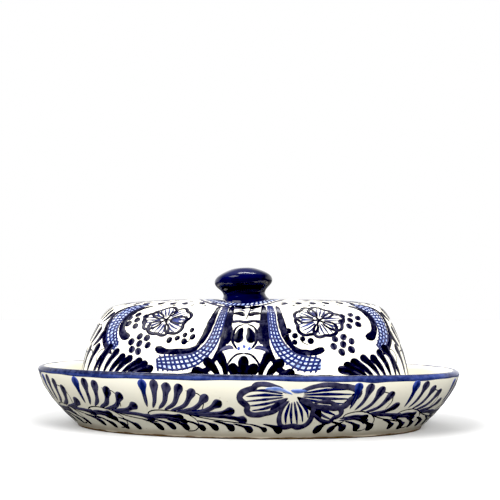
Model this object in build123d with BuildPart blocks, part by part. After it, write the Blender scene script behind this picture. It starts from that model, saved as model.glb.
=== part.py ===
from build123d import *

import os
from math import cos, radians, sin

# A covered butter dish in glazed earthenware.
#
# The dish is oval, with a flared wall on a low foot ring. The lid is a hollow, loaf-shaped dome that stands loose
# on the floor of the dish, inside the wall. The knob is a separately thrown piece joined to the top of the lid.
#
# Millimetres, +Z up, +X along the dish. The origin is the middle of the dish, on the surface it stands on.

# Dish
RIM_HALF_LENGTH = 108.0
RIM_HALF_WIDTH = 69.0
RIM_HEIGHT = 30.0
RIM_OVALNESS = 2.3  # the power of the superellipse that an outline follows: 2 is an ellipse, and more is squarer
FOOT_HALF_LENGTH = 89.0
FOOT_HALF_WIDTH = 55.6
FOOT_HEIGHT = 2.0  # the wall is upright up to here, and flares above it
FOOT_OVALNESS = 2.1
FLARE_POWER = 1.65  # how soon the flare turns upright
FLOOR_LEVEL = 7.0
WALL_AT_FLOOR = 6.0
WALL_AT_RIM = 4.8
RIM_ROUNDING = 2.2
FOOT_RING_WIDTH = 6.0
FOOT_RECESS = 1.8
FOOT_ROUNDING = 0.8
DISH_LEVELS = [0.0, 2.0, 4.5, 8.0, 12.0, 16.0, 20.0, 24.0, 27.0, RIM_HEIGHT]
WELL_LEVELS = [FLOOR_LEVEL, 9.0, 12.0, 16.0, 20.0, 24.0, 27.0, RIM_HEIGHT]

# Lid
LID_HALF_LENGTH = 85.5
LID_HALF_WIDTH = 47.0
LID_RISE = 58.0
LID_WALL = 5.0
LID_EDGE_ROUNDING = 1.2
LID_OVALNESS = 2.4
CREST_OVALNESS = 3.0
LID_SHIFT = -1.2  # the lid stands this far from the middle of the dish, along +X
END_LEAN = 0.2  # the share of the lid's length that is lost to the lean of its ends
END_LEAN_POWER = 2.4  # how late on the way up the ends start to lean
SHOULDER_POWER = 40.0  # how square the shoulder above each end is
CROWN_POWER = 0.75  # how much the crest rises from the shoulders to the knob: 0 is level
LID_LATITUDES = [0, 10, 20, 30, 40, 50, 60, 66, 71, 75, 79, 82, 85, 88]  # degrees up the dome
HOLLOW_OVERSHOOT = 2.0  # the hollow is cut from this far below the lid, so that it opens cleanly
CREST_LEVEL = FLOOR_LEVEL + LID_RISE

# Knob
KNOB_SHIFT = -0.5  # along +X from the middle of the dish
KNOB_LEAN = 3.5  # degrees, because the knob was set on by hand
KNOB_ROOT = -7.0  # the knob's blank reaches down to here from the crest, and is cut back to the dome
KNOB_HEIGHT = 16.0
KNOB_PROFILE = [  # radius, and height above the crest: skirt, neck, edge and crown
    (14.6, -3.6),
    (12.6, -0.8),
    (11.4, 0.6),
    (10.8, 2.3),
    (11.5, 4.2),
    (13.9, 6.6),
    (15.0, 8.9),
    (14.6, 10.6),
    (12.6, 12.6),
    (8.3, 14.7),
    (0.0, KNOB_HEIGHT),
]


def oval(level, half_length, half_width, power, shift=0.0):
    """A superellipse at a height, as four Bezier quarters that meet it on its axes and its diagonals."""
    pull = (8 * 0.5 ** (1 / power) - 4) / 3
    x_pull = pull * half_length
    y_pull = pull * half_width
    east = (half_length, 0)
    north = (0, half_width)
    west = (-half_length, 0)
    south = (0, -half_width)
    with BuildSketch(Plane((shift, 0, level))) as outline:
        with BuildLine():
            Bezier(east, (half_length, y_pull), (x_pull, half_width), north)
            Bezier(north, (-x_pull, half_width), (-half_length, y_pull), west)
            Bezier(west, (-half_length, -y_pull), (-x_pull, -half_width), south)
            Bezier(south, (x_pull, -half_width), (half_length, -y_pull), east)
        make_face()
    return outline.sketch


def dish_section(level, inset=0.0):
    """The outline of the dish at a height, moved inwards by an inset."""
    share = max(0.0, (level - FOOT_HEIGHT) / (RIM_HEIGHT - FOOT_HEIGHT))
    flare = 1 - (1 - share) ** FLARE_POWER
    half_length = FOOT_HALF_LENGTH + flare * (RIM_HALF_LENGTH - FOOT_HALF_LENGTH)
    half_width = FOOT_HALF_WIDTH + flare * (RIM_HALF_WIDTH - FOOT_HALF_WIDTH)
    power = FOOT_OVALNESS + flare * (RIM_OVALNESS - FOOT_OVALNESS)
    return oval(level, half_length - inset, half_width - inset, power)


def wall_thickness(level):
    """The thickness of the dish's wall at a height, measured level."""
    share = (level - FLOOR_LEVEL) / (RIM_HEIGHT - FLOOR_LEVEL)
    return WALL_AT_FLOOR + share * (WALL_AT_RIM - WALL_AT_FLOOR)


def dome_sections(inset=0.0):
    """The outlines up the dome of the lid, all moved inwards by an inset."""
    half_length = LID_HALF_LENGTH - inset
    half_width = LID_HALF_WIDTH - inset
    rise = LID_RISE - inset
    sections = []
    for latitude in LID_LATITUDES:
        climb = sin(radians(latitude))
        lean = 1 - END_LEAN * climb**END_LEAN_POWER
        shoulder = (1 - climb**SHOULDER_POWER) ** CROWN_POWER
        arch = cos(radians(latitude))
        power = LID_OVALNESS + climb * (CREST_OVALNESS - LID_OVALNESS)
        level = FLOOR_LEVEL + rise * climb
        sections.append(oval(level, half_length * lean * shoulder, half_width * arch, power, LID_SHIFT))
    return sections


# The dish: an outer body, hollowed by the well above and by a shallow recess inside the foot ring.
with BuildPart() as dish:
    loft([dish_section(level) for level in DISH_LEVELS])
    loft([dish_section(level, wall_thickness(level)) for level in WELL_LEVELS], mode=Mode.SUBTRACT)
    rim_face = dish.faces().filter_by(GeomType.PLANE).sort_by(Axis.Z)[-1]
    fillet(rim_face.edges(), radius=RIM_ROUNDING)
    extrude(dish_section(0.0, FOOT_RING_WIDTH), amount=FOOT_RECESS, mode=Mode.SUBTRACT)
    foot_face = dish.faces().filter_by(GeomType.PLANE).sort_by(Axis.Z)[0]
    fillet(foot_face.edges(), radius=FOOT_ROUNDING)
dish.part.label = "dish"

# The solid dome that the outside of the lid and the underside of the knob both follow.
with BuildPart() as dome:
    loft(dome_sections())

# The shell of the lid: the dome, hollowed from below, with its standing edge rounded inside and out.
with BuildPart() as lid_shell:
    add(dome.part)
    hollow_half_length = LID_HALF_LENGTH - LID_WALL
    hollow_half_width = LID_HALF_WIDTH - LID_WALL
    mouth_level = FLOOR_LEVEL - HOLLOW_OVERSHOOT
    mouth = oval(mouth_level, hollow_half_length, hollow_half_width, LID_OVALNESS, LID_SHIFT)
    loft([mouth] + dome_sections(LID_WALL), mode=Mode.SUBTRACT)
    standing_face = lid_shell.faces().filter_by(GeomType.PLANE).sort_by(Axis.Z)[0]
    fillet(standing_face.edges(), radius=LID_EDGE_ROUNDING)
lid_shell.part.label = "lid_shell"

# The knob: a turned head on a short neck, leaning a little, whose skirt spreads onto the crest of the dome.
lean_angle = radians(KNOB_LEAN)
crest = Vector(KNOB_SHIFT, 0, CREST_LEVEL)
knob_plane = Plane(origin=crest, x_dir=(cos(lean_angle), 0, sin(lean_angle)), z_dir=(0, -1, 0))
with BuildPart() as knob:
    with BuildSketch(knob_plane):
        with BuildLine():
            Spline(KNOB_PROFILE, tangents=[(-2, 3), (-1, 0)])
            Polyline((0, KNOB_HEIGHT), (0, KNOB_ROOT), (KNOB_PROFILE[0][0], KNOB_ROOT), KNOB_PROFILE[0])
        make_face()
    revolve(axis=Axis(crest, knob_plane.y_dir))
    add(dome.part, mode=Mode.SUBTRACT)
knob.part.label = "knob"

os.makedirs("parts", exist_ok=True)
export_step(dish.part, "parts/dish.step")
export_step(lid_shell.part, "parts/lid_shell.step")
export_step(knob.part, "parts/knob.step")
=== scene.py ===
import math
import random

import bpy
import numpy as np
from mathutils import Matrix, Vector


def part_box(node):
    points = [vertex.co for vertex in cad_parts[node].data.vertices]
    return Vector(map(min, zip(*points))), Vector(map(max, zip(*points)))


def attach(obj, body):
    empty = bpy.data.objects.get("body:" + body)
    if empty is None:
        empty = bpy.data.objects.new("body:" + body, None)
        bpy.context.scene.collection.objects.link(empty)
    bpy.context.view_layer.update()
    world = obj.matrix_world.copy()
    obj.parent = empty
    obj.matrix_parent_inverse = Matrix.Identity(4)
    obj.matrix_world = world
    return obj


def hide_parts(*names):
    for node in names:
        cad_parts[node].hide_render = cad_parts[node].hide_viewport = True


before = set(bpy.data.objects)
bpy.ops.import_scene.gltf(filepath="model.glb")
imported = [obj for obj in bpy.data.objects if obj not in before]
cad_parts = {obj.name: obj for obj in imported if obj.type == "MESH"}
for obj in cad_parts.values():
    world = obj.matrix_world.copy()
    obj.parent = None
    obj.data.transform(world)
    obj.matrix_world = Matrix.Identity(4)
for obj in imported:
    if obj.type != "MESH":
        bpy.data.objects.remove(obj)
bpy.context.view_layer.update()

MM = 0.001
DISH_BODY = "dish"
LID_BODY = "lid"

# ----------------------------------------------------------------------------------------------------
# The forms, in millimetres. They are the forms of the CAD parts, finer and a little uneven, as made by hand.
# ----------------------------------------------------------------------------------------------------
dish_low, dish_high = [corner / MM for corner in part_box("dish")]
lid_low, lid_high = [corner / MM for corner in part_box("lid_shell")]

# The dish
RIM_HALF_LENGTH = dish_high.x
RIM_HALF_WIDTH = dish_high.y
RIM_HEIGHT = dish_high.z
RIM_RADIUS = 2.35
RIM_UNEVENNESS = 0.93  # the rim's left end stands this much high, and its right end this much low
FOOT_HALF_LENGTH = 0.825 * RIM_HALF_LENGTH
FOOT_HALF_WIDTH = 0.808 * RIM_HALF_WIDTH
FOOT_HEIGHT = 0.9
FOOT_SHIFT = 0.8  # the foot stands this far to the right of the rim's middle
FOOT_RECESS = 1.8
FOOT_RING_WIDTH = 6.0
FOOT_INNER_ROUNDING = 0.5
FOOT_OUTER_ROUNDING = 0.7
FOOT_OVALNESS = 2.1  # the power of the superellipse of the outline: 2 is an ellipse, and more is squarer
RIM_SQUARER = 0.2  # the rim's power is this much higher
FLARE_POWER = 1.65  # how soon the flare turns upright
FLOOR_LEVEL = lid_low.z
FLOOR_COVE = 2.4  # the radius between the floor and the wall
WALL_AT_FLOOR = 6.0
WALL_AT_RIM = 2 * RIM_RADIUS

# The lid
LID_SHIFT = (lid_high.x + lid_low.x) / 2
LID_HALF_LENGTH = (lid_high.x - lid_low.x) / 2
LID_HALF_WIDTH = (lid_high.y - lid_low.y) / 2
LID_RISE = 58.0
LID_WALL = 5.0
LID_EDGE = 1.9  # the height of its rounded standing edge
LID_OVALNESS = 2.4
CREST_SQUARER = 0.6  # the crest's power is this much higher
END_LEAN = 0.2  # the share of the lid's length that is lost to the lean of its ends
END_LEAN_POWER = 2.4  # how late on the way up the ends start to lean
SHOULDER_POWER = 40  # how square the shoulder above each end is
CROWN_POWER = 0.75  # how much the crest rises from the shoulders to the knob
TOP_LATITUDE = 89.6  # degrees, and a small flat cap closes the dome above

AROUND = 720  # vertices round each ring of the dish and the lid
TURNS = np.arange(AROUND) * 2 * math.pi / AROUND
QUARTER = math.pi / 2


def oval_xy(half_length, half_width, power, turn):
    """A point of a superellipse. turn is 0 at the front (-Y) and grows towards +X."""
    sine, cosine = np.sin(turn), np.cos(turn)
    reach = (np.abs(sine) ** power + np.abs(cosine) ** power) ** (-1 / power)
    return half_length * reach * sine, -half_width * reach * cosine


def hand_wobble(x, y, z):
    """How far, in millimetres, a hand-pressed wall stands proud of the true form."""
    wave = np.sin(0.043 * x + 0.031 * y + 1.3) * np.cos(0.061 * z - 0.027 * y)
    ripple = np.sin(0.11 * x - 0.09 * y + 0.13 * z + 0.4) * np.sin(0.07 * y + 0.12 * z + 2.1)
    return 0.28 * wave + 0.12 * ripple


def rim_warp(x, z):
    """The dish dried unevenly: its left end stands a little high and its right end a little low."""
    return -RIM_UNEVENNESS * (x / RIM_HALF_LENGTH) * np.clip(z / RIM_HEIGHT, 0, 1) ** 2


def dish_outline(z, inset, turn):
    """The true outline of the dish at a height, moved inwards by an inset."""
    share = np.clip((z - FOOT_HEIGHT) / (RIM_HEIGHT - FOOT_HEIGHT), 0, 1)
    flare = 1 - (1 - share) ** FLARE_POWER
    half_length = FOOT_HALF_LENGTH + flare * (RIM_HALF_LENGTH - FOOT_HALF_LENGTH) - inset
    half_width = FOOT_HALF_WIDTH + flare * (RIM_HALF_WIDTH - FOOT_HALF_WIDTH) - inset
    return oval_xy(half_length, half_width, FOOT_OVALNESS + RIM_SQUARER * flare, turn)


def dish_point(z, inset, turn):
    """A point of the dish, or an array of them, in millimetres."""
    x, y = dish_outline(z, inset, turn)
    x = x + FOOT_SHIFT * (1 - np.clip(z / RIM_HEIGHT, 0, 1)) * np.clip(1.5 - inset / 20, 0, 1)
    distance = np.hypot(x, y) + 1e-9
    push = hand_wobble(x, y, z) * np.clip(z / 6, 0, 1)
    x, y = x * (1 + push / distance), y * (1 + push / distance)
    return np.stack([x, y, z + rim_warp(x, z) + 0 * x], axis=-1)


def dome_outline(latitude, inset=0.0):
    """The half length, half width and power of the lid's outline, at degrees of latitude up its dome."""
    climb = np.sin(np.radians(latitude))
    arch = np.cos(np.radians(latitude))
    lean = 1 - END_LEAN * climb**END_LEAN_POWER
    shoulder = np.clip(1 - climb**SHOULDER_POWER, 0, 1) ** CROWN_POWER
    half_length = (LID_HALF_LENGTH - inset) * lean * shoulder
    half_width = (LID_HALF_WIDTH - inset) * arch
    return half_length, half_width, LID_OVALNESS + CREST_SQUARER * climb


def lid_point(latitude, turn, inset=0.0):
    """A point of the lid's dome: latitude is in degrees up from its base, and inset is for its hollow."""
    climb = np.sin(np.radians(latitude))
    x, y = oval_xy(*dome_outline(latitude, inset), turn)
    z = FLOOR_LEVEL + (LID_RISE - inset) * climb
    push = hand_wobble(1.3 * x, y, 0.7 * z + 20) * np.sin(np.radians(2 * np.clip(latitude, 0, 45)))
    share = push / (LID_RISE - inset)
    return np.stack([LID_SHIFT + x * (1 + 0.5 * share), y * (1 + share), z + push * climb + 0 * x], axis=-1)


def new_mesh_object(name, points_mm, faces, body):
    """A smooth piece that rides on a body."""
    mesh = bpy.data.meshes.new(name)
    mesh.from_pydata((np.asarray(points_mm) * MM).tolist(), [], faces)
    mesh.shade_smooth()
    piece = bpy.data.objects.new(name, mesh)
    bpy.context.scene.collection.objects.link(piece)
    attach(piece, body)
    return piece


def rings_to_faces(ring_count, per_ring):
    """Quads between consecutive rings of vertices, each ring closed."""
    faces = []
    for ring in range(ring_count - 1):
        base = ring * per_ring
        for i in range(per_ring):
            j = (i + 1) % per_ring
            faces.append((base + i, base + j, base + per_ring + j, base + per_ring + i))
    return faces


def zip_ring(base, per_ring):
    """Closes a flat, symmetric ring with quads from its front half to its back half."""
    quarter = per_ring // 4
    faces = []
    for i in range(-quarter + 1, quarter - 1):
        front = (base + i % per_ring, base + (i + 1) % per_ring)
        back = (base + (per_ring // 2 - i - 1) % per_ring, base + (per_ring // 2 - i) % per_ring)
        faces.append((front[0], front[1], back[0], back[1]))
    for end in (-1, 1):
        tip = base + (end * quarter) % per_ring
        near = base + (end * (quarter - 1)) % per_ring
        far = base + (end * (quarter + 1)) % per_ring
        faces.append((tip, far, near) if end > 0 else (near, far, tip))
    return faces


def foot_profile():
    """Heights and insets from the outer outline: out under the floor, and round the foot ring."""
    profile = []
    for share in np.linspace(0.06, 1, 16):
        profile.append((FOOT_RECESS, FOOT_HALF_WIDTH + (FOOT_RING_WIDTH - FOOT_HALF_WIDTH) * share))
    radius = FOOT_INNER_ROUNDING
    for angle in np.linspace(0, QUARTER, 5):
        inset = FOOT_RING_WIDTH - radius + radius * math.cos(angle)
        profile.append((radius - radius * math.sin(angle), inset))
    radius = FOOT_OUTER_ROUNDING
    for angle in np.linspace(0, QUARTER, 7):
        profile.append((radius - radius * math.cos(angle), radius - radius * math.sin(angle)))
    return profile


def wall_profile():
    """Up the outside of the wall, over its rounded rim, and down inside to the cove."""
    profile = [(z, 0.0) for z in np.linspace(1.0, RIM_HEIGHT - RIM_RADIUS, 64)]
    for angle in np.linspace(0, math.pi, 25)[1:-1]:
        profile.append((RIM_HEIGHT - RIM_RADIUS * (1 - math.sin(angle)), RIM_RADIUS * (1 - math.cos(angle))))
    for z in np.linspace(RIM_HEIGHT - RIM_RADIUS, FLOOR_LEVEL + FLOOR_COVE, 40):
        share = (z - FLOOR_LEVEL) / (RIM_HEIGHT - FLOOR_LEVEL)
        profile.append((z, WALL_AT_FLOOR + (WALL_AT_RIM - WALL_AT_FLOOR) * share))
    return profile


def floor_profile(wall_inset):
    """Round the cove from the wall's inset, and in over the floor."""
    profile = []
    for angle in np.linspace(0, QUARTER, 8)[1:]:
        height = FLOOR_LEVEL + FLOOR_COVE * (1 - math.sin(angle))
        profile.append((height, wall_inset + FLOOR_COVE * (1 - math.cos(angle))))
    floor_inset = profile[-1][1]
    for share in np.linspace(0, 1, 24)[1:]:
        profile.append((FLOOR_LEVEL, floor_inset + (FOOT_HALF_WIDTH - 2 - floor_inset) * share))
    return profile


def build_dish():
    """The dish as one closed skin: under its floor, up the outside, over the rim and down inside."""
    profile = foot_profile() + wall_profile()
    profile += floor_profile(profile[-1][1])
    points = np.concatenate([dish_point(z, inset, TURNS) for z, inset in profile])
    faces = rings_to_faces(len(profile), AROUND)
    faces += [tuple(reversed(face)) for face in zip_ring(0, AROUND)]
    faces += zip_ring((len(profile) - 1) * AROUND, AROUND)
    return new_mesh_object("dish_glazed", points, faces, DISH_BODY)


def build_lid():
    """The lid as one closed skin: over the outside to the standing edge, and up inside."""
    outside = np.concatenate([np.linspace(TOP_LATITUDE, 84, 12), np.linspace(83, 2, 90)])
    inside = np.concatenate([np.linspace(3, 83, 60), np.linspace(84, TOP_LATITUDE, 10)])
    rings = [lid_point(latitude, TURNS) for latitude in outside]
    for angle in np.linspace(0, math.pi, 13):
        ring = lid_point(LID_EDGE, TURNS, LID_WALL / 2 * (1 - math.cos(angle)))
        ring[:, 2] = FLOOR_LEVEL + LID_EDGE * (1 - math.sin(angle))
        rings.append(ring)
    rings += [lid_point(latitude, TURNS, LID_WALL) for latitude in inside]
    points = np.concatenate(rings)
    faces = [tuple(reversed(face)) for face in rings_to_faces(len(rings), AROUND)]
    faces += zip_ring(0, AROUND)
    faces += [tuple(reversed(face)) for face in zip_ring((len(rings) - 1) * AROUND, AROUND)]
    return new_mesh_object("lid_glazed", points, faces, LID_BODY)


# ----------------------------------------------------------------------------------------------------
# Materials
# ----------------------------------------------------------------------------------------------------
class Nodes:
    """A short way to write a node tree."""

    def __init__(self, owner):
        """owner is a material or a world."""
        owner.use_nodes = True
        self.owner = owner
        self.tree = owner.node_tree
        self.shader = self.tree.nodes.get("Principled BSDF")

    def add(self, kind, inputs=None, **settings):
        """A new node, with values or links for its inputs."""
        node = self.tree.nodes.new(kind)
        for key, value in settings.items():
            setattr(node, key, value)
        for key, value in (inputs or {}).items():
            self.set(node.inputs[key], value)
        return node

    def set(self, socket, value):
        """Links value to socket if it is another node's output, and else sets it."""
        if isinstance(value, bpy.types.NodeSocket):
            self.tree.links.new(value, socket)
        else:
            socket.default_value = value

    def position(self):
        return self.add("ShaderNodeTexCoord").outputs["Object"]

    def noise(self, scale, detail=3.0, roughness=0.5, vector=None):
        node = self.add("ShaderNodeTexNoise", {"Scale": scale, "Detail": detail, "Roughness": roughness})
        self.set(node.inputs["Vector"], vector or self.position())
        return node.outputs["Fac"]

    def ramp(self, factor, low, high, start, end, smooth=True):
        """Maps factor from start..end to low..high, which are numbers."""
        limits = {"From Min": start, "From Max": end, "To Min": low, "To Max": high}
        kind = "SMOOTHSTEP" if smooth else "LINEAR"
        node = self.add("ShaderNodeMapRange", limits, interpolation_type=kind)
        self.set(node.inputs["Value"], factor)
        return node.outputs["Result"]

    def mix(self, factor, first, second, blend="MIX"):
        node = self.add("ShaderNodeMix", data_type="RGBA", blend_type=blend)
        self.set(node.inputs["Factor"], factor)
        self.set(node.inputs["A"], first)
        self.set(node.inputs["B"], second)
        return node.outputs["Result"]

    def math(self, operation, first, second=0.0):
        node = self.add("ShaderNodeMath", operation=operation)
        self.set(node.inputs[0], first)
        self.set(node.inputs[1], second)
        return node.outputs["Value"]

    def bump(self, height, distance, strength=1.0):
        node = self.add("ShaderNodeBump", {"Height": height, "Distance": distance, "Strength": strength})
        return node.outputs["Normal"]


CREAM = (0.885, 0.848, 0.7, 1)
WARM_CREAM = (0.86, 0.83, 0.71, 1)
SPECK_BROWN = (0.42, 0.36, 0.28, 1)
# the brown of thin glaze at the foot, also used as painted shade low on the wall
THIN_GLAZE_AND_PAINTED_SHADE = (0.5, 0.43, 0.32, 1)
DARK_CLAY = (0.09, 0.062, 0.04, 1)
PALE_CLAY = (0.16, 0.11, 0.065, 1)
DEEP_COBALT = (0.001, 0.0012, 0.01, 1)
RICH_COBALT = (0.005, 0.007, 0.06, 1)
LIP_DARK_BLUE = (0.02, 0.027, 0.095, 1)
LIP_BLUE = (0.042, 0.062, 0.21, 1)
LIP_TOP = (0.012, 0.013, 0.03, 1)
LIP_PALE_STREAK = (0.14, 0.18, 0.4, 1)


def glaze_material():
    """Cream glaze with faint specks, that stops in a brown line above bare clay at the foot; the brown tint
    also reaches up the lowest few millimetres of the wall as painted shade.
    """
    nodes = Nodes(bpy.data.materials.new("cream_tin_glaze"))
    cloud = nodes.noise(28, 4, 0.55)
    colour = nodes.mix(nodes.ramp(cloud, 0, 1, 0.35, 0.7), CREAM, WARM_CREAM)
    specks = nodes.ramp(nodes.noise(700, 1), 0, 0.5, 0.74, 0.78)
    colour = nodes.mix(specks, colour, SPECK_BROWN)
    # below the glaze's lower edge, the fired clay is bare, and the glaze is thin and brown where it stops.
    # The same brown tint, carried up to 5 mm, is also painted shade that darkens the foot of the wall
    height = nodes.add("ShaderNodeSeparateXYZ", {"Vector": nodes.position()}).outputs["Z"]
    edge = nodes.math("ADD", height, nodes.ramp(nodes.noise(90, 3), -0.35 * MM, 0.35 * MM, 0.3, 0.7))
    bare = nodes.ramp(edge, 1, 0, 0.55 * MM, 1.1 * MM)
    # painted shade: the brown tint is strongest at the foot and fades out 5 mm up, partly thin glaze and
    # partly shade near the floor
    colour = nodes.mix(nodes.ramp(edge, 0.75, 0, 1.2 * MM, 5 * MM), colour, THIN_GLAZE_AND_PAINTED_SHADE)
    grain = nodes.ramp(nodes.noise(600, 4), 0, 1, 0.3, 0.7)
    clay = nodes.mix(grain, DARK_CLAY, PALE_CLAY)
    nodes.set(nodes.shader.inputs["Base Color"], nodes.mix(bare, colour, clay))
    gloss = nodes.ramp(nodes.noise(160, 3), 0.1, 0.2, 0.3, 0.75)
    dull = nodes.math("MULTIPLY", bare, 0.8)
    nodes.set(nodes.shader.inputs["Roughness"], nodes.math("MAXIMUM", gloss, dull))
    waves = nodes.noise(110, 2, 0.4)
    nodes.set(nodes.shader.inputs["Normal"], nodes.bump(waves, 0.0004, 0.35))
    return nodes.owner


def knob_material():
    """Deep blue glaze over the whole of the knob."""
    nodes = Nodes(bpy.data.materials.new("cobalt_glaze"))
    cloud = nodes.noise(60, 3, 0.5)
    colour = nodes.mix(nodes.ramp(cloud, 0, 1, 0.3, 0.75), DEEP_COBALT, RICH_COBALT)
    nodes.set(nodes.shader.inputs["Base Color"], colour)
    nodes.set(nodes.shader.inputs["Roughness"], nodes.ramp(nodes.noise(200, 3), 0.08, 0.16, 0.3, 0.75))
    nodes.set(nodes.shader.inputs["Normal"], nodes.bump(nodes.noise(130, 2, 0.4), 0.0004, 0.3))
    return nodes.owner


def give_material(piece, material):
    piece.data.materials.clear()
    piece.data.materials.append(material)


dish = build_dish()
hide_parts("dish")
lid = build_lid()
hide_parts("lid_shell")
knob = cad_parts["knob"]
glaze = glaze_material()
give_material(dish, glaze)
give_material(lid, glaze)
give_material(knob, knob_material())


# ----------------------------------------------------------------------------------------------------
# The painting. Each stroke is a thin skin of coloured glaze that stands a little proud of the body.
# On the wall of the dish, a place is (distance round from the middle of the front, height), in millimetres.
# On the lid it is (distance round the base from the middle of the front, distance up the arch).
# ----------------------------------------------------------------------------------------------------
PAINT_LIFT = 0.15  # how far a full stroke stands proud
PAINT_ROOT = -0.05  # the underside of a stroke is sunk this far into the body
LINE_LIFT = 0.11
WASH_LIFT = 0.03
LOWEST_PAINT, HIGHEST_PAINT = 2.5, 89.5  # degrees of latitude on the lid
BLACK, INK, NAVY, COBALT, PALE = 0.0, 0.1, 0.27, 0.6, 1.0  # tones of the painted glaze
EDGE_TONE = 0.13  # a stroke is this much bluer along its edges, where it lies thin


def arc_table(outline):
    """Turns, and the distance round an outline from the middle of its front at each."""
    turn = np.linspace(-math.pi, math.pi, 4001)
    step = np.hypot(*np.diff(outline(turn)[:, :2], axis=0).T)
    distance = np.concatenate([[0], np.cumsum(step)])
    return turn, distance - distance[len(turn) // 2]


WALL_MIDDLE = 18.0  # distances round the wall are measured at this height
wall_turns, wall_distances = arc_table(lambda turn: dish_point(WALL_MIDDLE, 0.0, turn))
lid_turns, lid_distances = arc_table(lambda turn: lid_point(0.0, turn))
WALL_ROUND = wall_distances[-1] - wall_distances[0]
LID_ROUND = lid_distances[-1] - lid_distances[0]
ARCH_DEGREE = 0.92  # millimetres up the arch of the lid for each degree of latitude


def wrapped(distance, whole):
    """A distance round an outline, brought to between minus and plus half of the whole."""
    return (distance + whole / 2) % whole - whole / 2


def wall_surface(along, height):
    turn = np.interp(wrapped(along, WALL_ROUND), wall_distances, wall_turns)
    above = np.clip(height - (RIM_HEIGHT - RIM_RADIUS), 0, RIM_RADIUS)
    inset = RIM_RADIUS - np.sqrt(RIM_RADIUS**2 - above**2)
    return dish_point(np.clip(height, FOOT_HEIGHT, RIM_HEIGHT), inset, turn)


def lid_surface(along, up):
    turn = np.interp(wrapped(along, LID_ROUND), lid_distances, lid_turns)
    return lid_point(np.clip(up / ARCH_DEGREE, LOWEST_PAINT, HIGHEST_PAINT), turn)


def crest_surface(x, y):
    """The lid above a place on its plan, in millimetres from the middle of its crest."""
    low, high = np.zeros_like(x), np.full_like(x, 89.9)
    for _ in range(24):
        latitude = (low + high) / 2
        half_length, half_width, power = dome_outline(latitude)
        inside = (np.abs(x) / half_length) ** power + (np.abs(y) / half_width) ** power < 1
        low, high = np.where(inside, latitude, low), np.where(inside, high, latitude)
    half_length, half_width, _ = dome_outline(low)
    return lid_point(low, np.arctan2(x / half_length, -y / half_width))


def between(first, second, share, lift=0.0):
    """The point a share of the way from first to second, raised by lift."""
    return tuple(a + (b - a) * share + raised for a, b, raised in zip(first, second, (0, lift)))


def read_evenly(values, share):
    """Values that are spread evenly from 0 to 1, read at a share."""
    return np.interp(share, np.linspace(0, 1, len(values)), values)


def square_to(points):
    """The direction to the left of a path, at each of its points."""
    heading = np.gradient(points, axis=0)
    heading /= np.maximum(np.hypot(*heading.T), 1e-9)[:, None]
    return np.stack([-heading[:, 1], heading[:, 0]], axis=1)


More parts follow.
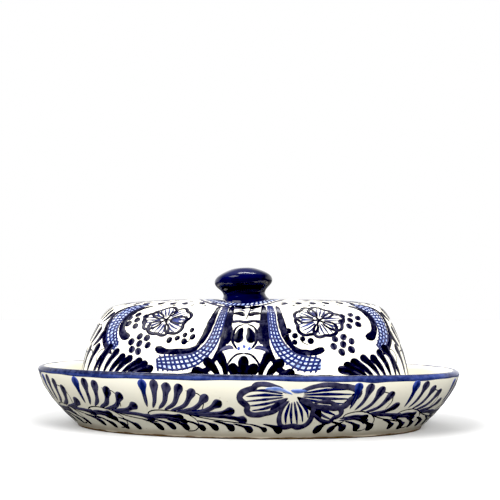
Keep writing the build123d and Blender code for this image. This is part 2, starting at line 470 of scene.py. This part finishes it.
class Brush:
    """Lays strokes on a surface and joins them into one piece."""

    def __init__(self, surface, seed, shift=0.0):
        self.surface = surface
        self.shift = shift
        self.middle, self.side = 0.0, 1  # strokes are placed from this line, to this side of it
        self.random = random.Random(seed)
        self.places, self.lifts, self.tones, self.faces = [], [], [], []
        self.count = 0

    def near(self, value, spread):
        """The value, moved by chance by up to spread either way."""
        return value + self.random.uniform(-spread, spread)

    def curve(self, path, step):
        """A smooth curve through the points of a path, in even steps, and the distance along it."""
        path = [np.array(point, float) for point in path]
        ends = [2 * path[0] - path[1]] + path + [2 * path[-1] - path[-2]]
        points = []
        for a, b, c, d in zip(ends, ends[1:], ends[2:], ends[3:]):
            for t in np.linspace(0, 1, 9)[:-1]:
                bend = (2 * a - 5 * b + 4 * c - d) * t * t + (3 * b - a - 3 * c + d) * t**3
                points.append(0.5 * (2 * b + (c - a) * t + bend))
        points = np.array(points + [path[-1]])
        along = np.concatenate([[0], np.cumsum(np.hypot(*np.diff(points, axis=0).T))])
        even = np.linspace(0, along[-1], max(3, int(along[-1] / step) + 2))
        return np.stack([np.interp(even, along, points[:, i]) for i in range(2)], axis=1), even

    def lay(self, points, halves, tones, lift=PAINT_LIFT, across=(-1, -0.8, 0, 0.8, 1)):
        """One stroke: a strip along points, with a domed section that is thinner where it is narrow."""
        points = points * (self.side, 1) + (self.middle, 0)
        halves = halves * (1 + 0.05 * np.sin(self.near(0, 3) + self.near(0.8, 0.3) * np.arange(len(halves))))
        across = np.array(across)
        dome = (1 - across**2) ** 0.35
        aside = square_to(points)[:, None, :] * (halves[:, None] * across)[:, :, None]
        places = points[:, None, :] + aside
        fullness = np.clip(halves / 0.9, 0.45, 1)[:, None]
        lifts = fullness * (PAINT_ROOT + (lift - PAINT_ROOT) * dome)
        tones = tones[:, None] + EDGE_TONE * (np.abs(across) > 0.7)
        self.close(len(points), len(across))
        self.places.append(places.reshape(-1, 2))
        self.lifts.append(lifts.reshape(-1))
        self.tones.append(tones.reshape(-1))

    def close(self, rows, columns):
        """The faces of the next stroke: a closed tube of rows of vertices, with a flat end at each end."""
        base = self.count
        for i in range(rows - 1):
            for j in range(columns):
                k = (j + 1) % columns
                a, b = base + i * columns, base + (i + 1) * columns
                self.faces.append((a + j, b + j, b + k, a + k))
        self.faces.append(tuple(base + j for j in range(columns)))
        self.faces.append(tuple(base + (rows - 1) * columns + j for j in reversed(range(columns))))
        self.count += rows * columns

    def comma(self, path, width, stem=0.5, tones=(BLACK, NAVY), taper=3.0):
        """A round head, and a tail that is a share of its width. A low taper narrows it from its start."""
        points, along = self.curve(path, 0.9)
        radius = width / 2
        out = points[0] - points[1]
        turn = np.linspace(0.12, math.pi / 2, 6)[:-1]
        cap = points[0] + out / np.hypot(*out) * (radius * np.cos(turn))[:, None]
        share = along / along[-1]
        drawn = radius * (stem + (1 - stem) * np.exp(-((along / (1.05 * radius)) ** 2)))
        halves = np.concatenate([radius * np.sin(turn), drawn * (1 - share**taper) ** 0.6 + 0.08])
        points = np.concatenate([cap, points])
        shade = np.linspace(0, 1, len(points)) ** 0.6
        self.lay(points, halves, tones[0] + (tones[1] - tones[0]) * shade)

    def leaf(self, path, width, tone=NAVY):
        """Pointed at both ends, and fullest a little before the middle."""
        points, along = self.curve(path, 0.8)
        halves = width / 2 * np.sin(math.pi * np.clip(along / along[-1], 0, 1) ** 0.8) ** 0.7 + 0.08
        self.lay(points, halves, np.full(len(points), tone))

    def line(self, path, widths, tone=BLACK, lift=LINE_LIFT):
        """A stroke with rounded ends, whose width changes evenly through the given widths."""
        points, along = self.curve(path, 0.75)
        widths = np.atleast_1d(widths)
        halves = read_evenly(widths, along / along[-1]) / 2
        ends = np.clip(np.minimum(along, along[-1] - along) / halves.max(), 0, 1)
        halves = halves * np.sqrt(0.12 + 0.88 * ends)
        across = (-1, 0, 1) if widths.max() < 0.9 else (-1, -0.75, 0.75, 1)
        self.lay(points, halves, np.full(len(points), tone), lift, across)

    def dot(self, centre, width, tone=BLACK):
        """A dab, a little longer than wide, that slants by chance."""
        slant = self.near(0, 0.5)
        turn = np.linspace(0.15, math.pi - 0.15, 8)
        axis = np.array([math.sin(slant), math.cos(slant)])
        points = np.array(centre) + axis * (width / 2 * 1.08 * np.cos(turn))[:, None]
        self.lay(points, width / 2 * np.sin(turn), np.full(len(turn), tone))

    def fan(self, first, last, angles, lengths, count, width, tones=(BLACK, INK), curl=0.08):
        """Fat leaves with their roots in a row from first to last, at a range of angles in degrees."""
        for share in np.linspace(0, 1, count):
            root = between(first, last, share)
            angle = math.radians(self.near(angles[0] + (angles[1] - angles[0]) * share, 2))
            length = self.near(read_evenly(lengths, share), 0.5)
            ray = (math.cos(angle), math.sin(angle))
            path = []
            for reach, bow in ((1, 0), (0.62, curl * length), (0.22, 0.6 * curl * length)):
                out = reach * length
                path.append((root[0] + out * ray[0] - bow * ray[1], root[1] + out * ray[1] + bow * ray[0]))
            self.comma(path, self.near(width, 0.2), 0.85, tones, 1.5)

    def ribbon(self, path, widths, pitch=2.3, wash=0.885, ink=0.3):
        """A pale wash with a net of lines over it."""
        points, along = self.curve(path, 0.8)
        halves = read_evenly(widths, along / along[-1]) / 2
        halves *= np.clip(0.55 + np.minimum(along, along[-1] - along) / 3, 0, 1)
        flat = (-1, -0.95, -0.5, 0, 0.5, 0.95, 1)
        self.lay(points, halves, np.full(len(points), wash), WASH_LIFT, flat)
        side = square_to(points)

        def place(distance, offset):
            distance = min(max(distance, 0), along[-1])
            reach = np.interp(distance, along, halves) * offset
            return tuple(np.interp(distance, along, points[:, i] + reach * side[:, i]) for i in range(2))

        thin = 1.25
        lengthwise = max(2, round(2 * halves.max() / 2.4))
        for row in range(lengthwise):
            offset = -1 + 2 * (row + 0.5) / lengthwise
            marks = np.linspace(0.3, along[-1] - 0.3, 7)
            self.line([place(mark, self.near(offset, 0.06)) for mark in marks], thin, self.near(ink, 0.05))
        distance = pitch / 2
        while distance < along[-1]:
            lean = 0.35 * np.interp(distance, along, halves)
            middle = place(self.near(distance, 0.15), 0)
            rung = [place(distance - lean, -0.95), middle, place(distance + lean, 0.95)]
            self.line(rung, thin, self.near(ink, 0.05))
            distance += self.near(pitch, 0.25)

    def petal(self, base, tip, width, lobes, stripes, outline, mark=1.7, ink=NAVY, edge=0.13):
        """A petal with a scalloped edge, and stripes that run out from its base."""
        base, tip = np.array(base, float), np.array(tip, float)
        length = np.hypot(*(tip - base))
        ahead = (tip - base) / length
        aside = np.array([-ahead[1], ahead[0]])
        turns = np.linspace(0.35, 2 * math.pi - 0.35, 5 * lobes + 6)
        ripple = 0.1 * np.abs(np.sin((turns - 0.35) * (lobes + 1) / 2)) - 0.05
        swell = 1 + ripple * np.clip(np.sin(turns / 2) * 1.6 - 0.5, 0, 1) * 1.6
        forward = length * (1 - np.cos(turns)) / 2 * swell
        sideways = width / 2 * np.sin(turns) * (0.7 + 0.42 * np.sin(turns / 2)) * swell
        edge_path = base + forward[:, None] * ahead + sideways[:, None] * aside
        swelling = [outline * share for share in (0.6, 1, 1.15, 1, 0.6)]
        self.line(list(edge_path), swelling, edge, PAINT_LIFT)
        for stripe in range(stripes):
            offset = -1 + 2 * (stripe + 0.5) / stripes
            reach = length * (0.95 - 0.2 * offset**2)
            start = base + ahead * 0.1 * length + aside * width * 0.16 * offset
            middle = base + ahead * 0.5 * length + aside * width * 0.38 * offset
            end = base + ahead * self.near(reach, 0.5) + aside * width * 0.42 * offset
            self.line([start, middle, end], (0.8, self.near(mark, 0.2), 0.6), self.near(ink, 0.05))

    def blossom(self, centre, radius, petals, start):
        """An open flower of striped petals round a dark heart."""
        for petal in range(petals):
            angle = math.radians(start + 360 * petal / petals + self.near(0, 5))
            reach = radius * self.near(1, 0.07)
            base = (centre[0] + 0.12 * radius * math.cos(angle), centre[1] + 0.12 * radius * math.sin(angle))
            tip = (centre[0] + reach * math.cos(angle), centre[1] + 0.82 * reach * math.sin(angle))
            self.petal(base, tip, radius * 0.98, 3, 5, 2, mark=1.4, ink=0.33, edge=BLACK)
        self.dot(centre, 2.6, BLACK)
        for spoke in range(petals):
            angle = math.radians(start + 360 * (spoke + 0.5) / petals)
            end = (centre[0] + 0.34 * radius * math.cos(angle), centre[1] + 0.3 * radius * math.sin(angle))
            self.leaf([centre, between(centre, end, 0.5), end], 1.4, BLACK)

    def berries(self, centre, width, ring_width, count):
        """A cluster of dots: one in the middle and the rest round it, every other one of these with a painted
        highlight.
        """
        self.dot(centre, width, INK)
        for berry in range(count):
            angle = 2 * math.pi * berry / count + self.near(0.3, 0.12)
            across, up = ring_width * math.cos(angle), 0.85 * ring_width * math.sin(angle)
            self.dot((centre[0] + across, centre[1] + up), self.near(width, 0.25), INK)
            # a small pale blue dab near the upper side of every other berry: a painted highlight
            if berry % 2:
                self.dot((centre[0] + across - 0.2, centre[1] + up + 0.3), 0.9, COBALT)

    def build(self, name, body, material):
        """Sets every stroke on the surface as one piece, with its tones as an attribute."""
        places = np.concatenate(self.places)
        lifts = np.concatenate(self.lifts)
        along, up = places[:, 0] + self.shift, places[:, 1]
        here = self.surface(along, up)
        east = self.surface(along + 0.05, up) - self.surface(along - 0.05, up)
        north = self.surface(along, up + 0.05) - self.surface(along, up - 0.05)
        out = np.cross(east, north)
        out /= np.maximum(np.linalg.norm(out, axis=1), 1e-12)[:, None]
        piece = new_mesh_object(name, here + out * lifts[:, None], self.faces, body)
        tone = piece.data.attributes.new("tone", "FLOAT", "POINT")
        tone.data.foreach_set("value", np.concatenate(self.tones).astype(np.float32))
        give_material(piece, material)
        return piece


def paint_material():
    """Cobalt glaze, near black where it lies thick and clear blue where it is thin."""
    nodes = Nodes(bpy.data.materials.new("painted_cobalt"))
    tone = nodes.add("ShaderNodeAttribute", attribute_name="tone").outputs["Fac"]
    streak = nodes.ramp(nodes.noise(420, 3), -0.06, 0.07, 0.25, 0.75, smooth=False)
    pool = nodes.ramp(nodes.noise(130, 2), -0.04, 0.05, 0.3, 0.7, smooth=False)
    mottled = nodes.math("ADD", tone, nodes.math("ADD", streak, pool))
    ramp = nodes.add("ShaderNodeValToRGB")
    stops = [
        (0.0, (0.002, 0.002, 0.007, 1)),
        (0.15, (0.008, 0.008, 0.02, 1)),
        (0.32, (0.075, 0.073, 0.125, 1)),
        (0.42, (0.018, 0.022, 0.08, 1)),
        (0.52, (0.02, 0.028, 0.12, 1)),
        (0.68, (0.06, 0.09, 0.34, 1)),
        (0.82, (0.19, 0.28, 0.62, 1)),
        (1.0, (0.8, 0.83, 0.87, 1)),
    ]
    for _ in stops[2:]:
        ramp.color_ramp.elements.new(0.5)
    for element, (place, colour) in zip(ramp.color_ramp.elements, stops):
        element.position = place
        element.color = colour
    nodes.set(ramp.inputs["Fac"], mottled)
    nodes.set(nodes.shader.inputs["Base Color"], ramp.outputs["Color"])
    nodes.set(nodes.shader.inputs["Roughness"], nodes.ramp(nodes.noise(300, 2), 0.1, 0.22, 0.3, 0.75))
    nodes.shader.inputs["Specular IOR Level"].default_value = 0.35
    return nodes.owner


def paint_garland(brush, root, reach, count):
    """One unit of the wall's border: strokes that rise from a vine, low leaves and hanging drops."""
    for share in np.linspace(0, 1, count):
        head = (root - 1 + (reach + 1) * share, brush.near(24.9 - 15.2 * share**2.3, 0.5))
        tail = (root - 2 + 0.5 * reach * share, 14.6 - 3.2 * share)
        bend = (tail[0] + (head[0] - tail[0]) * 0.64, tail[1] + (head[1] - tail[1]) * (0.4 - 0.16 * share))
        tones = (0.68, NAVY) if share == 0 else (0.08, 0.28)
        brush.comma([head, bend, tail], brush.near(4.6 - 0.6 * share, 0.25), 0.5, tones)
    # the vine, and the tendrils that leave it
    vine = [(-4, 9.6), (-2.4, 12.2), (3, 13.3), (0.3 * reach, 12.6), (0.6 * reach, 9.8), (reach + 3, 7.4)]
    brush.line([(root + step, height) for step, height in vine], 0.8)
    curl = root + 0.4 * reach
    brush.line([(curl, 11.6), (curl + 3, 9.4), (curl + 3.8, 6.4), (curl + 1, 4), (curl - 3.5, 3.4)], 0.75)
    arc = root + 0.5 * reach
    brush.line([(arc - 3, 22.6), (arc + 2.4, 21.2), (arc + 4.2, 17.8), (arc + 3, 14)], 0.7)
    # low leaves and hanging drops
    for row in range(2):
        head = (root + 0.3 * reach + 1.5 * row, 10.3 - 2 * row)
        brush.comma([head, (root + 0.1 * reach, 11 - 1.2 * row), (root - 5, 10 - row)], 3.2 - 0.5 * row)
    spacing = 7.6
    for drop in range(int(reach / spacing + 0.4)):
        head = (brush.near(root - 1 + spacing * drop, 0.5), brush.near(5.2, 0.5))
        tail = (head[0] - 8.5, 8.8)
        brush.comma([head, between(head, tail, 0.4, 0.8), tail], brush.near(3.7, 0.3), 0.3, (0.08, INK))


def paint_wall(brush):
    """Half of the dish's wall: a leafy border, broken by one wide flower."""
    for root, reach, count in [
        (-132, 29, 6),
        (-101, 27, 6),
        (-72, 33, 7),
        (-36, 43, 9),
        (58, 26, 6),
        (86, 28, 6),
        (116, 20, 5),
    ]:
        paint_garland(brush, root, reach, count)
    # the flower: three wide petals, seen from the side, with dark ground between them
    brush.petal((27, 20.4), (7.4, 18), 13.5, 4, 5, 2.9)
    brush.petal((29.5, 19.6), (33.5, 6.4), 15.5, 3, 5, 2.6)
    brush.petal((31, 21), (56.5, 20.4), 10.5, 3, 4, 2.9)
    brush.petal((38, 16.4), (51.5, 11.2), 8.5, 3, 3, 2.2)
    brush.line([(31, 20.4), (35, 17.6), (41, 13.6), (43.6, 10.4)], (1.6, 3.2, 3.8, 2.2), BLACK)
    brush.line([(20, 13), (22, 16.4), (27, 19.8)], (2.4, 3, 1.6), INK)
    brush.line([(52, 17.2), (55.6, 18.6), (55.4, 22)], (2.2, 4.2, 2.4), BLACK)
    brush.leaf([(17, 24), (23, 24), (29, 21.6)], 2.2, 0.78)
    brush.leaf([(28, 23.4), (31, 23), (36, 23.6)], 2, 0.72)
    for drop, width in ((10, 3.8), (17.5, 2.8), (24.5, 4.4), (44, 4.4), (51, 3.8)):
        lean = 8 if drop < 30 else -5
        tail = (drop - lean, 7.6 if drop < 30 else 8.8)
        brush.comma([(drop, 4.8), between((drop, 4.8), tail, 0.4, 0.5), tail], width, 0.3, (0.08, INK))


def lip_point(angle, lift, turn):
    """The lip of the dish: angle is 0 at its outermost, and a quarter turn at its top."""
    round_part = np.clip(angle, 0, math.pi)
    inset = RIM_RADIUS - (RIM_RADIUS + lift) * np.cos(round_part)
    below = RIM_RADIUS * np.maximum(np.maximum(-angle, angle - math.pi), 0)
    height = RIM_HEIGHT - RIM_RADIUS + (RIM_RADIUS + lift) * np.sin(round_part) - below
    return dish_point(height, inset, turn)


def build_painted_lip():
    """Blue glaze over the lip. Its edges wander, and it ran down the wall where it was laid on thickly."""
    turn = TURNS
    outer = -0.2 + 0.09 * np.sin(5 * turn + 1) + 0.06 * np.sin(13 * turn) + 0.04 * np.sin(31 * turn + 2)
    runs = ((-1.12, 1.3, 0.02), (0.62, 0.35, 0.05), (2.2, 0.8, 0.02), (-2.6, 0.5, 0.03))
    for place, depth, spread in runs:
        outer -= depth * np.exp(-((np.angle(np.exp(1j * (turn - place))) / spread) ** 2))
    inner = 2.0 + 0.09 * np.sin(7 * turn) + 0.07 * np.sin(19 * turn + 1)
    shares = np.linspace(0, 1, 19)
    skin = [(share, 0.1 * (1 - (2 * share - 1) ** 8) + PAINT_ROOT * (2 * share - 1) ** 8) for share in shares]
    back = [(share, 2 * PAINT_ROOT) for share in shares[-2:0:-1]]
    rings = [lip_point(outer + (inner - outer) * share, lift, turn) for share, lift in skin + back]
    points = np.concatenate(rings)
    count = len(rings)
    faces = rings_to_faces(count, AROUND)
    last = (count - 1) * AROUND
    faces += [(last + i, last + (i + 1) % AROUND, (i + 1) % AROUND, i) for i in range(AROUND)]
    lip = new_mesh_object("dish_painted_lip", points, faces, DISH_BODY)
    give_material(lip, lip_material())


def lip_material():
    """Brushed blue glaze: clear blue where it thinned over the edge, darker in the brush's streaks."""
    nodes = Nodes(bpy.data.materials.new("painted_lip_blue"))
    stretched = nodes.add("ShaderNodeMapping", {"Vector": nodes.position(), "Scale": (1, 1, 5)})
    streak = nodes.ramp(nodes.noise(95, 4, 0.6, stretched.outputs["Vector"]), 0, 1, 0.36, 0.66)
    fine = nodes.ramp(nodes.noise(480, 2), 0, 1, 0.45, 0.7)
    height = nodes.add("ShaderNodeSeparateXYZ", {"Vector": nodes.position()}).outputs["Z"]
    blue = nodes.mix(streak, LIP_DARK_BLUE, LIP_BLUE)
    blue = nodes.mix(nodes.ramp(height, 0, 0.85, 28.6 * MM, 29.6 * MM), blue, LIP_TOP)
    blue = nodes.mix(nodes.math("MULTIPLY", fine, 0.18), blue, LIP_PALE_STREAK)
    nodes.set(nodes.shader.inputs["Base Color"], blue)
    nodes.set(nodes.shader.inputs["Roughness"], nodes.ramp(nodes.noise(300, 2), 0.1, 0.22, 0.3, 0.75))
    nodes.shader.inputs["Specular IOR Level"].default_value = 0.4
    return nodes.owner


LID_MIDDLE = 6.0  # the line that the lid's front is painted about
BLOSSOM_UP = 49.6  # how far up the arch each blossom is


def paint_lid_centre(brush):
    """The panel below the knob: a stem with leaves, and two arches with drops under them."""
    brush.line([(1, 68), (1.6, 60), (0, 50.5)], 0.9)
    brush.line([(-8.5, 48.2), (-4, 49), (0, 48.2), (4, 49.2), (8.5, 48.2)], (3.2, 2.2, 2.8, 2.2, 3.2))
    for side in (-1, 1):
        brush.side = side
        brush.leaf([(1.4, 59.5), (4, 62), (8.4, 62.5)], 4.2, BLACK)
        brush.leaf([(1.2, 52.8), (4, 55.4), (8.6, 55)], 3.8, BLACK)
        brush.leaf([(0.8, 57), (3.6, 58.6), (6, 58.2)], 1.4, NAVY)
        brush.line([(1, 46.8), (4.4, 45), (6.2, 41), (6, 36), (3.6, 32)], (1.2, 1.2, 2.4, 1.8, 1.0))
        brush.comma([(3.2, 38), (2.9, 41), (1.4, 44.8)], 5.6, 0.9, (BLACK, BLACK), 1.5)
        brush.line([(8.6, 46.6), (8.8, 41), (9, 34.6)], (4, 5.6, 4.6), BLACK)
        brush.line([(0, 30), (4, 29), (7.4, 25), (9.4, 19)], (1.0, 1.3, 1.2, 0.8))
        brush.comma([(4.9, 22.6), (3.2, 20), (1.8, 15)], 5.6, 0.9, (BLACK, BLACK), 1.5)
        brush.leaf([(5, 32.4), (8, 33), (12.6, 31)], 2.4, NAVY)
        brush.dot((2.7, 32.4), 1.8, COBALT)
        brush.fan((7.6, 13.4), (12, 13), (76, 14), (16, 15, 14, 12), 4, 4.9, (BLACK, BLACK))
    brush.comma([(0, 26), (0, 22), (0, 15)], 5.6, 0.9, (BLACK, BLACK), 1.5)
    brush.dot((0, 33.4), 1.8, COBALT)


def paint_lid_side(brush, flower, fold):
    """To one side of the centre: a netted ribbon, a blossom with berries, a second ribbon, and leaves.
    flower and fold say how far out the blossom and the end of the ribbon are."""
    ribbon = [(13.4, 64), (14, 52), (15, 42), (17.2, 34.5), (22.5, 28), (0.5 * fold + 10, 25.4), (fold, 25)]
    brush.ribbon(ribbon, (4.6, 5, 6.4, 9, 9))
    inner_edge = [(9.6, 64), (9.6, 52), (10, 43), (11, 35), (13.4, 28.6), (17.6, 22.4)]
    brush.line(inner_edge, (3, 4.4, 5.4, 5, 3.4, 2.4))
    brush.line([(17.4, 63), (18.6, 52), (20, 43), (21.8, 37), (24.6, 32.6)], (2.6, 3.4, 4.6, 4.2, 2.4))
    upper_edge = [(21.6, 36), (26, 31.6), (0.5 * fold + 12, 30.6), (fold - 3, 30.6), (fold + 2, 32.4)]
    brush.line(upper_edge, (1.6, 3.4, 3.4, 3.4, 5))
    brush.line([(14, 24.6), (20, 20.8), (0.5 * fold + 10, 18.6), (fold + 5, 19.6)], (3.4, 3.6, 2.8, 1.4))
    brush.line([(28, 39), (29, 36), (32, 34.4)], 0.8)
    brush.blossom((flower, BLOSSOM_UP), 12.6, 5, 72)
    for across, up in ((-16, -7), (-17.2, -11), (-13, -10), (-9.4, -11.8), (-13.4, -13.6), (-5.6, -13)):
        brush.dot((flower + across, BLOSSOM_UP + up), brush.near(3.2, 0.3), BLACK)
    brush.berries((flower + 16.6, BLOSSOM_UP), 3.9, 5.2, 6)
    brush.berries((flower + 9.8, 34.6), 3.8, 4.9, 6)
    brush.ribbon([(64.5, 65), (71.5, 57), (74.6, 47), (72.4, 38), (67, 32)], (7, 8.8, 9.6, 8.6, 6))
    hook = [(58, 63.4), (64.4, 58.6), (68, 51), (68, 44), (65, 39.4), (61, 38)]
    brush.line(hook, (1.8, 4, 4.6, 4.2, 4.6, 6.4))
    brush.line([(71, 65), (78.4, 56), (80.6, 46), (77, 36), (69, 29)], (1.6, 3.2, 3.8, 3.6, 2.4))
    # fans of leaves, out to the lid's end
    brush.fan((59, 16.5), (77, 13), (156, 106), (14, 16, 16, 20), 7, 4.2, curl=-0.05)
    brush.fan((46, 10), (57, 10.5), (146, 122), (9, 10.5), 3, 4.4, curl=-0.05)
    brush.fan((83, 12), (98, 12), (120, 86), (23, 21, 17), 4, 4.8, curl=-0.05)
    brush.fan((102, 12), (109, 13), (104, 92), (17, 16), 2, 5.4)
    brush.fan((89, 31), (107, 33), (134, 94), (13, 14, 13), 5, 5)
    brush.line([(83, 26), (86, 30.6), (93, 29.4), (101, 31.6), (109, 31)], 0.9)
    brush.line([(84, 42), (88, 46.4), (95, 45.4), (102, 47.4), (109, 47)], 0.9)
    brush.fan((90, 47), (107, 48), (136, 94), (11, 13, 12), 5, 4.2)
    brush.line([(73, 32), (77.5, 30.6), (79, 26.6), (76, 21)], 0.8)
    # the crest's border
    for step in range(9):
        along = brush.near(21 + 9 * step, 1.2)
        height = brush.near(65.6, 0.5)
        brush.leaf([(along, height - 1), (along + 2.6, height + 0.6), (along + 5.6, height + 1.4)], 2.6, INK)
        upper = [(along + 6.4, height + 1.2), (along + 4.4, height + 3), (along + 2, height + 3.6)]
        brush.leaf(upper, 2, NAVY)
        brush.dot((along + 6.6, height - 2), brush.near(1.8, 0.3), INK)
    brush.line([(20 + 12 * step, 71 + 0.8 * (step % 2)) for step in range(8)], 0.9, NAVY)


def paint_lid(brush):
    """Half of the lid's arch, with a border of leaning strokes and a line along its foot."""
    brush.middle = LID_MIDDLE
    paint_lid_centre(brush)
    for side, flower, fold in ((-1, 44.5, 43), (1, 38.6, 37)):
        brush.side = side
        paint_lid_side(brush, flower, fold)
        for step in range(14):
            along = 3.8 + 7.7 * step
            brush.comma([(along, 11.5), (along - 1.5, 9), (along - 4.5, 5.5)], 3.4)
    brush.side = 1
    brush.line([(along, 3.6 + 0.2 * (along % 3)) for along in range(-108, 110, 6)], 1.2, INK)


def paint_crest(brush):
    """The crest, from above: a netted collar round the knob, and a spray along each arm."""
    knob_low, knob_high = [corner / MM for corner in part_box("knob")]
    brush.middle = (knob_low.x + knob_high.x) / 2 - LID_SHIFT
    turns = [math.radians(15 * step) for step in range(25)]
    collar = [(18.6 * math.cos(turn), 15.4 * math.sin(turn)) for turn in turns]
    brush.ribbon(collar, (5.4, 5.4), 2.2)
    for radius, width in ((15.2, 2.4), (22.4, 1.9)):
        brush.line([(radius * math.cos(turn), (radius - 3.2) * math.sin(turn)) for turn in turns], width, INK)
    for side in (-1, 1):
        brush.side = side
        brush.line([(23, 0), (32, 1), (42, -1), (52, 0.5), (60, 0)], (1.4, 1, 1), INK)
        for step in range(5):
            stem = 27 + 7 * step
            brush.comma([(stem + 6.5, 6 - 0.5 * step), (stem + 3, 4), (stem, 0.4)], 3.2)
            brush.comma([(stem + 6.5, -6 + 0.5 * step), (stem + 3, -4), (stem, -0.4)], 3.2)


paint = paint_material()
for place, turned in (("front", 0.0), ("back", 0.5)):
    wall_brush = Brush(wall_surface, 7, turned * WALL_ROUND)
    paint_wall(wall_brush)
    wall_brush.build(f"dish_painting_{place}", DISH_BODY, paint)
    lid_brush = Brush(lid_surface, 11, turned * LID_ROUND)
    paint_lid(lid_brush)
    lid_brush.build(f"lid_painting_{place}", LID_BODY, paint)
crest_brush = Brush(crest_surface, 3)
paint_crest(crest_brush)
crest_brush.build("lid_painting_crest", LID_BODY, paint)
build_painted_lip()


# ----------------------------------------------------------------------------------------------------
# Stage, lights and camera
# ----------------------------------------------------------------------------------------------------
def stage_material(name, albedo):
    """A dull, plain surface that sends back a share of the light."""
    nodes = Nodes(bpy.data.materials.new(name))
    nodes.shader.inputs["Base Color"].default_value = (albedo, albedo, albedo, 1)
    nodes.shader.inputs["Roughness"].default_value = 0.9
    nodes.shader.inputs["Specular IOR Level"].default_value = 0.0
    return nodes.owner


def build_floor(name, height, material):
    """A plain floor that runs out to the horizon."""
    reach = 30.0
    mesh = bpy.data.meshes.new(name)
    corners = [(-reach, -reach), (reach, -reach), (reach, reach), (-reach, reach)]
    mesh.from_pydata([(x, y, height) for x, y in corners], [], [(0, 1, 2, 3)])
    floor = bpy.data.objects.new(name, mesh)
    bpy.context.scene.collection.objects.link(floor)
    give_material(floor, material)
    return floor


def build_stage():
    """The white floor that is seen, and a duller one just under it that throws less light up."""
    seen = build_floor("stage", 0.0, stage_material("stage_white", 0.58))
    seen.visible_diffuse = seen.visible_glossy = seen.visible_shadow = False
    under = build_floor("stage_bounce", -0.2 * MM, stage_material("stage_bounce", 0.14))
    under.visible_camera = False


def add_light(name, kind, place, target, energy, mirrored=True, **settings):
    """A light that faces its target. One that isn't mirrored makes no highlight on the glaze."""
    data = bpy.data.lights.new(name, kind)
    data.energy = energy
    for key, value in settings.items():
        setattr(data, key, value)
    light = bpy.data.objects.new(name, data)
    light.location = place
    light.rotation_euler = (Vector(target) - Vector(place)).to_track_quat("-Z", "Y").to_euler()
    light.visible_glossy = mirrored
    bpy.context.scene.collection.objects.link(light)


def build_world():
    """A dim studio with a bright backdrop behind the object, and plain white where the camera sees it."""
    world = bpy.data.worlds.new("studio")
    nodes = Nodes(world)
    direction = nodes.add("ShaderNodeTexCoord").outputs["Generated"]
    axes = nodes.add("ShaderNodeSeparateXYZ", {"Vector": direction}).outputs
    behind = nodes.ramp(axes["Y"], 0, 1.0, 0.0, 0.5)
    backdrop = nodes.math("MULTIPLY", behind, nodes.ramp(axes["Z"], 1.0, 0.2, 0.3, 0.7))
    ambient = nodes.ramp(axes["Z"], 0.04, 0.4, 0.1, 0.9)
    seen = nodes.add("ShaderNodeLightPath").outputs["Is Camera Ray"]
    light = nodes.math("MAXIMUM", backdrop, ambient)
    nodes.set(nodes.tree.nodes["Background"].inputs["Strength"], nodes.math("MAXIMUM", light, seen))
    nodes.tree.nodes["Background"].inputs["Color"].default_value = (1, 1, 1, 1)
    bpy.context.scene.world = world


def build_lights():
    """Two broad keys and an overhead fill, and two small windows whose reflections are the highlights."""
    centre = (0, 0, 0.04)
    key_energy, overhead_energy, window_energy = 3.65, 0.9, 2.0
    soft = {"mirrored": False, "angle": math.radians(35)}
    softest = {"mirrored": False, "angle": math.radians(60)}
    window = {"shape": "RECTANGLE", "size": 0.5}
    build_world()
    add_light("key_left", "SUN", (-0.9, -1.0, 1.1), centre, key_energy, **soft)
    add_light("key_right", "SUN", (0.9, -1.0, 1.1), centre, key_energy, **soft)
    add_light("overhead", "SUN", (-0.1, 0.1, 1), centre, overhead_energy, **softest)
    add_light("window_left", "AREA", (-0.5, -0.2, 1.1), centre, window_energy, size_y=0.4, **window)
    add_light("window_middle", "AREA", (0.0, 0.5, 1.1), centre, window_energy, size_y=0.1, **window)


def build_camera():
    """A level eye near the table's height, a little to the right of the dish's middle."""
    azimuth = math.radians(7.7)
    distance, eye_height = 0.43, 0.0544
    data = bpy.data.cameras.new("camera")
    data.sensor_width = 36
    data.lens = 59.6
    data.shift_x = 0.009
    data.shift_y = 0.138  # the photographer's frame has the dish low in it, with a level lens
    data.clip_end = 20
    camera = bpy.data.objects.new("camera", data)
    camera.location = (distance * math.sin(azimuth), -distance * math.cos(azimuth), eye_height)
    camera.rotation_euler = (math.pi / 2, 0, azimuth)
    bpy.context.scene.collection.objects.link(camera)
    bpy.context.scene.camera = camera


build_stage()
build_lights()
build_camera()
view = bpy.context.scene.view_settings
view.view_transform = "Standard"
view.use_curve_mapping = True
view.curve_mapping.black_level = (0.03, 0.03, 0.03)
view.curve_mapping.update()
